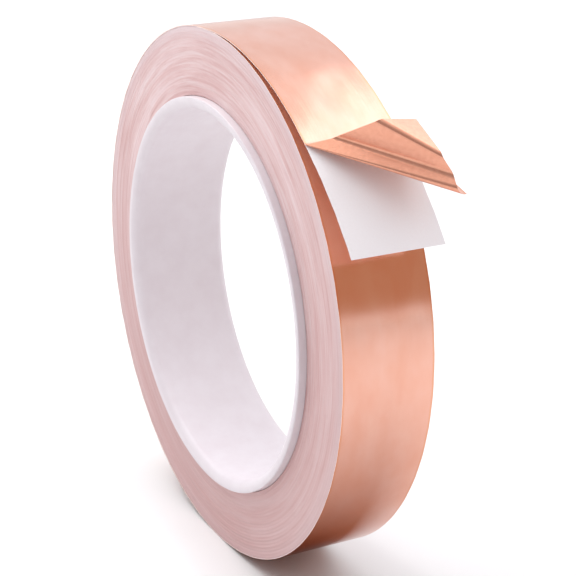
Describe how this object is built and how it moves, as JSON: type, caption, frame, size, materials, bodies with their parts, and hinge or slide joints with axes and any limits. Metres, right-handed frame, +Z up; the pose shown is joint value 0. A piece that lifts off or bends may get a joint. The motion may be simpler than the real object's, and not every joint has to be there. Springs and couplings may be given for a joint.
{
  "type": "copper foil tape roll",
  "caption": "Roll of adhesive copper foil tape on a plain core, with a loose outer lap and a tail where the foil is peeled from its liner.",
  "frame": {"origin": "the point that the roll stands on: on the floor, straight below the roll's axis, at the middle of the tape's width", "axes": "+Z up, Y along the roll's axis, +X towards the side that the tail points to"},
  "size_m": [0.1176, 0.022, 0.1093],
  "materials": {
    "copper_foil": "bright bare copper, softly brushed along the tape",
    "foil_adhesive_side": "copper seen through a clear adhesive film",
    "release_liner": "smooth white release paper",
    "wound_side": "pinkish stack of foil and paper edges with fine rings",
    "core": "satin white",
    "starter": "plain adhesive strip"
  },
  "bodies": {
    "roll": {"core_tube": "core", "starter_strip": "starter", "wound_tape": "wound_side", "outer_lap_liner": "release_liner", "outer_lap_foil": "copper_foil"},
    "loose_lap_1": {"loose_liner_1": "release_liner", "loose_foil_1": "copper_foil"},
    "loose_lap_2": {"loose_liner_2": "release_liner", "loose_foil_2": "copper_foil"},
    "loose_lap_3": {"loose_liner_3": "release_liner", "loose_foil_3": "copper_foil"},
    "loose_lap_4": {"loose_liner_4": "release_liner", "loose_foil_4": "copper_foil"},
    "liner_end": {"tail_liner": "release_liner"},
    "foil_end": {"peeled_foil": "copper_foil"},
    "foil_corner": {"rolled_foil_corner": "foil_adhesive_side"}
  },
  "joints": [
    {"name": "lap_lift_1", "type": "hinge", "parent": "roll", "child": "loose_lap_1", "pos_m": [-0.00535, 0, 0.10896], "axis": [0, -1, 0], "range_deg": [0, 12]},
    {"name": "lap_lift_2", "type": "hinge", "parent": "loose_lap_1", "child": "loose_lap_2", "pos_m": [0.00666, 0, 0.10901], "axis": [0, -1, 0], "range_deg": [0, 12]},
    {"name": "lap_lift_3", "type": "hinge", "parent": "loose_lap_2", "child": "loose_lap_3", "pos_m": [0.01847, 0, 0.1068], "axis": [0, -1, 0], "range_deg": [0, 12]},
    {"name": "lap_lift_4", "type": "hinge", "parent": "loose_lap_3", "child": "loose_lap_4", "pos_m": [0.02965, 0, 0.10242], "axis": [0, -1, 0], "range_deg": [0, 12]},
    {"name": "liner_flex", "type": "hinge", "parent": "loose_lap_4", "child": "liner_end", "pos_m": [0.0398, 0, 0.096], "axis": [0, -1, 0], "range_deg": [-12, 6]},
    {"name": "foil_peel", "type": "hinge", "parent": "loose_lap_4", "child": "foil_end", "pos_m": [0.03985, 0, 0.09606], "axis": [0, -1, 0], "range_deg": [-5, 70]},
    {"name": "corner_unroll", "type": "hinge", "parent": "foil_end", "child": "foil_corner", "pos_m": [0.05159, -0.00039, 0.09327], "axis": [0.7684, 0.6128, -0.1845], "range_deg": [-5, 65]}
  ],
  "couplings": [
    {"joint": "lap_lift_2", "follows": "lap_lift_1", "ratio": 1},
    {"joint": "lap_lift_3", "follows": "lap_lift_1", "ratio": 1},
    {"joint": "lap_lift_4", "follows": "lap_lift_1", "ratio": 1}
  ]
}
